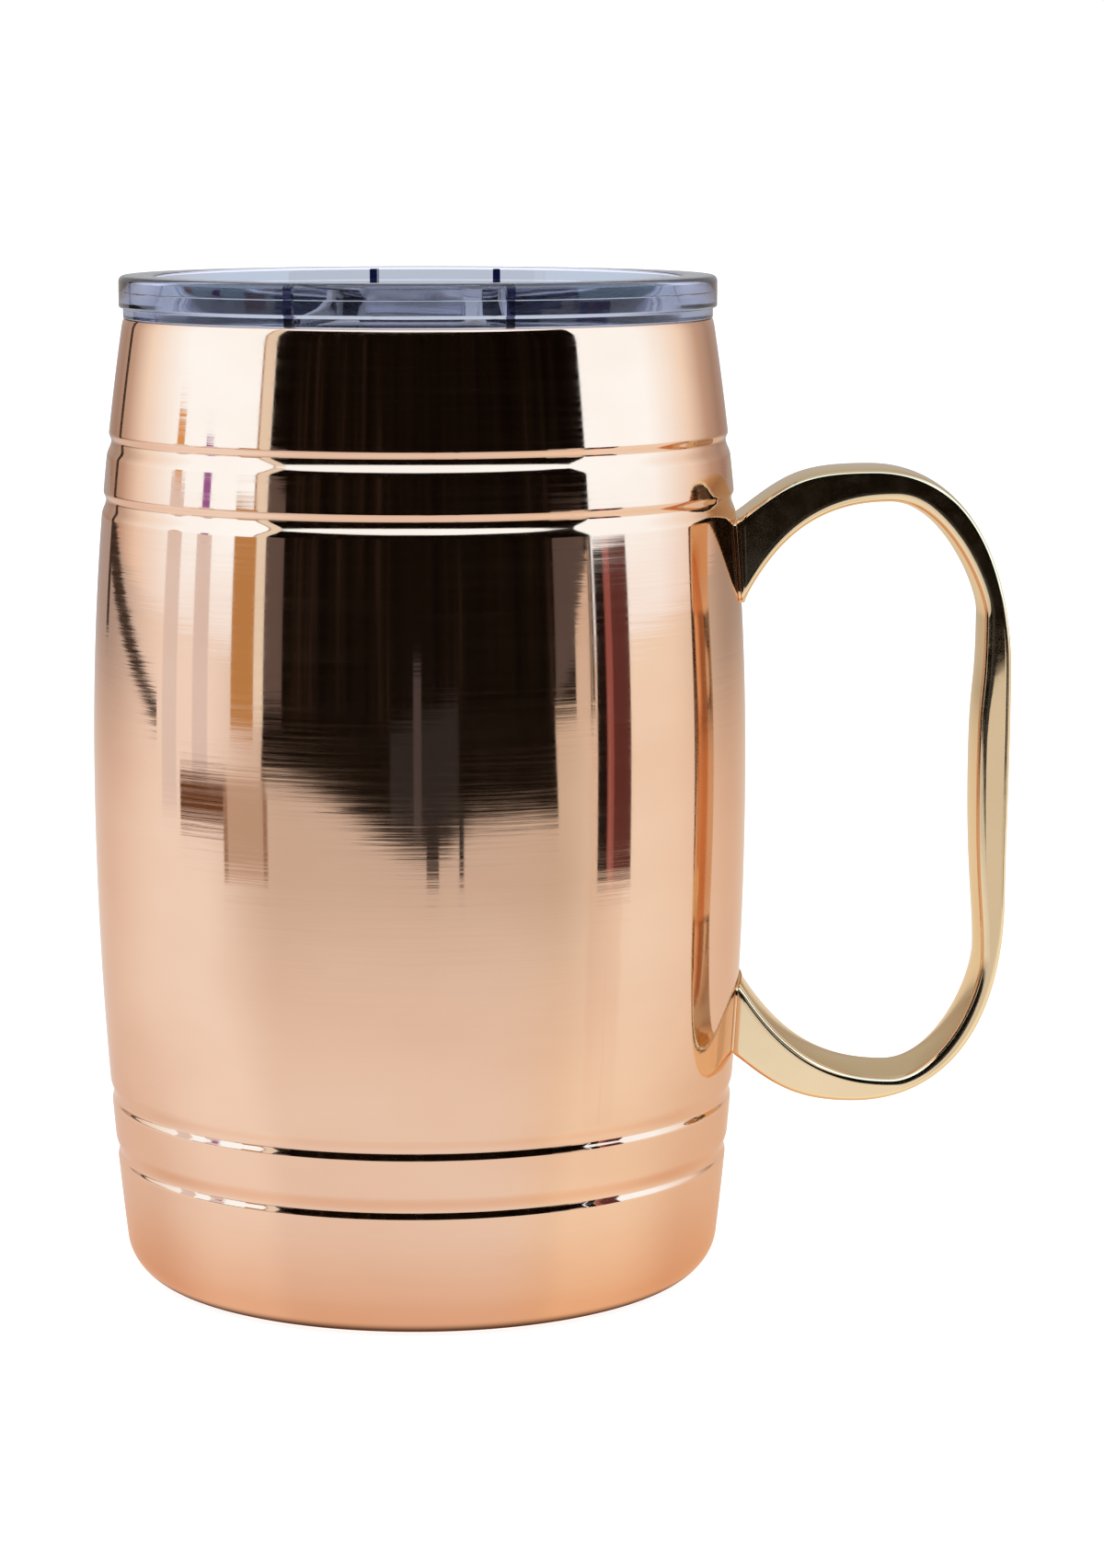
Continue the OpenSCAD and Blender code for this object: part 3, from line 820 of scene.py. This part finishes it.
def dome_tone(elevation, az):
    """Soft white panels at both sides, warmer near the horizon and grey behind and above."""
    tone = graded(abs(az), PANEL_FADE)
    tone = mix(times(tone, (0.91, 0.78, 0.72)), tone, ease(elevation, -2, 7))
    return mix(tone, TOP_GREY, ease(elevation, 48, 70))


def table_tone(radius, az):
    """The table as the mug reflects it: paler at the sides and warmer on the right, with a painted warm glow
    close to the foot and a painted contact shadow at the foot's edge.
    """
    # The direction in which a reflection off the barrel crosses this point of the table
    bearing = az * 2 * radius / (2 * radius - BARREL_R) if radius > BARREL_R else 2 * az
    away = abs(bearing)
    far = ease(radius, 0.06, 0.25)
    front = mix((0.93, 0.97, 0.99), (0.70, 0.72, 0.72), ease(radius, 0.12, 0.38))
    side = mix((1.00, 1.06, 1.09), (1.02, 1.14, 1.24), far)
    tone = mix(front, side, ease(away, 47, 62 + 20 * far))
    rim = mix((0.86, 0.77, 0.72), (0.97, 0.93, 0.90), far)
    tone = times(tone, mix(PLAIN, rim, ease(away, 80, 128)))
    back = mix(mix((0.77, 0.66, 0.60), (0.82, 0.78, 0.76), ease(radius, 0.07, 0.2)), (0.45, 0.44, 0.45),
               ease(radius, 0.3, 1.2))
    tone = mix(tone, back, ease(abs(az), 96, 142))
    warm = mix(PLAIN, mix((1.03, 0.98, 0.86), (0.99, 0.96, 0.88), far), ease(bearing, 25, 60))
    if 62 < bearing < 76:
        # A warmer strip in front of the red post
        warm = mix(warm, (0.95, 0.87, 0.78), far)
    # Painted light: a warm glow on the table close to the foot
    glow = mix((0.91, 0.68, 0.53), PLAIN, ease(radius, 0.036, 0.085))
    # Painted shadow: a dark contact ring on the table at the foot's edge
    glow = mix((0.12, 0.06, 0.035), glow, ease(radius, 0.0388, 0.0412))
    return times(tone, glow, warm)


def shell_tone(elevation, az):
    """What the clear plastic shows behind it: dark in front, pale grey behind and white above."""
    away = abs(az)
    tone = mix((0.10, 0.11, 0.135), (0.22, 0.21, 0.36), ease(away, 50, 66))
    tone = mix(tone, (0.74, 0.79, 0.79), ease(away, 105, 145))
    return mix(tone, PLAIN, ease(elevation, 35, 60))


def build_backdrop():
    """A shell round the mug, seen only through the clear plastic."""
    shell = toned_sheet("plastic_backdrop", range(0, 91, 5),
                        lambda el, az: on_dome(BACKDROP_R, el, az), shell_tone)
    shell.visible_glossy = False
    shell.visible_transmission = True


def build_surroundings():
    """Everything the copper mirrors: the table, the dome, the dark room and the cards."""
    table_rings = [0.034 + 0.0005 * k for k in range(24)] + [0.046 * 1.085 ** k for k in range(56)]
    toned_sheet("table_glow", table_rings, lambda r, az: on_compass(r, az, 0.0001), table_tone)
    toned_sheet("dome_glow", range(-4, 91, 2), lambda el, az: on_dome(DOME_R, el, az), dome_tone)
    dark = emitter("dark_room", streaks=((0.35, (0.003, 0.002, 0.001)), (0.58, (0.008, 0.006, 0.004)),
                                         (0.8, (0.04, 0.03, 0.025))))
    card("room_dark", dark, 1.2, -53, 63.5, (-0.05, -0.05), (0.9, 0.9), True)
    bm = bmesh.new()
    near = [bm.verts.new(on_compass(r, az, 0.001)) for az, r in TABLE_EDGE]
    far = [bm.verts.new(on_compass(TABLE_END, az, 0.001)) for az, _ in TABLE_EDGE]
    for k in range(len(TABLE_EDGE) - 1):
        bm.faces.new((near[k], near[k + 1], far[k + 1], far[k]))
    stage_only(new_object("table_edge_dark", bm), dark, True)
    for name, colour, radius, az0, az1, bottom, top in CARDS:
        card(name, emitter(name + "_glow", colour), radius, az0, az1, bottom, top)
    # A pale card beside the handle lights the lower part of its flat side. It stands edge on to the body
    bm = bmesh.new()
    left, right = (0.078, -0.0567), (0.096, -0.0630)
    corners = ((*left, 0.001), (*right, 0.001), (*right, 0.089), (*left, 0.072))
    bm.faces.new([bm.verts.new(p) for p in corners])
    stage_only(new_object("handle_bounce", bm), emitter("handle_bounce_glow", (0.74, 0.73, 0.70)))


def build_stage():
    """A plain pale floor, an even white world and one soft light overhead."""
    bm = bmesh.new()
    half, drop = 6.0, 0.0001
    corners = [bm.verts.new((x * half, y * half, -drop)) for x, y in ((-1, -1), (1, -1), (1, 1), (-1, 1))]
    bm.faces.new(corners)
    floor = new_object("floor", bm)
    mat, tree, shader = material("pale_floor", Roughness=0.7, Specular_IOR_Level=0.0, Emission_Strength=0.85)
    cloud = stretched_noise(tree, (2, 2, 2), 2)
    tone = ramp(tree, cloud, (0.3, (0.40, 0.40, 0.40)), (0.7, (0.42, 0.42, 0.42)))
    tree.links.new(tone, shader.inputs["Base Color"])
    shader.inputs["Emission Color"].default_value = (1, 1, 1, 1)
    floor.data.materials.append(mat)

    world = bpy.data.worlds.new("studio")
    world.use_nodes = True
    world.node_tree.nodes["Background"].inputs["Color"].default_value = (1, 1, 1, 1)
    world.node_tree.nodes["Background"].inputs["Strength"].default_value = 1.1
    bpy.context.scene.world = world

    lamp = bpy.data.lights.new("overhead_softbox", "AREA")
    lamp.shape = "RECTANGLE"
    lamp.size, lamp.size_y = 1.2, 0.8
    lamp.energy = 6
    over = bpy.data.objects.new("overhead_softbox", lamp)
    over.location = (0, 0.1, 1.3)
    over.visible_glossy = False
    bpy.context.scene.collection.objects.link(over)


def build_camera():
    """The camera, in front of the mug and a little above it."""
    data = bpy.data.cameras.new("camera")
    data.lens = 98.86
    cam = bpy.data.objects.new("camera", data)
    cam.location = (0.019, -0.6165, 0.1631)
    cam.rotation_euler = (math.radians(90 - 8.478), 0, 0)
    bpy.context.scene.collection.objects.link(cam)
    bpy.context.scene.camera = cam
    bpy.context.scene.view_settings.view_transform = "Standard"


# ---------------------------------------------------------------- the scene

build_camera()
build_stage()
build_surroundings()
build_backdrop()
build_shell()
build_liner()
build_base()
build_handle()
build_lid()
build_posts()
build_gasket()
build_slider()
# The small hidden parts stay as the CAD made them, with the visual materials
for node, mat in (("handle_screws", STEEL), ("screw_saddles", STEEL), ("slider_clip", CLEAR)):
    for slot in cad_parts[node].material_slots:
        slot.material = mat
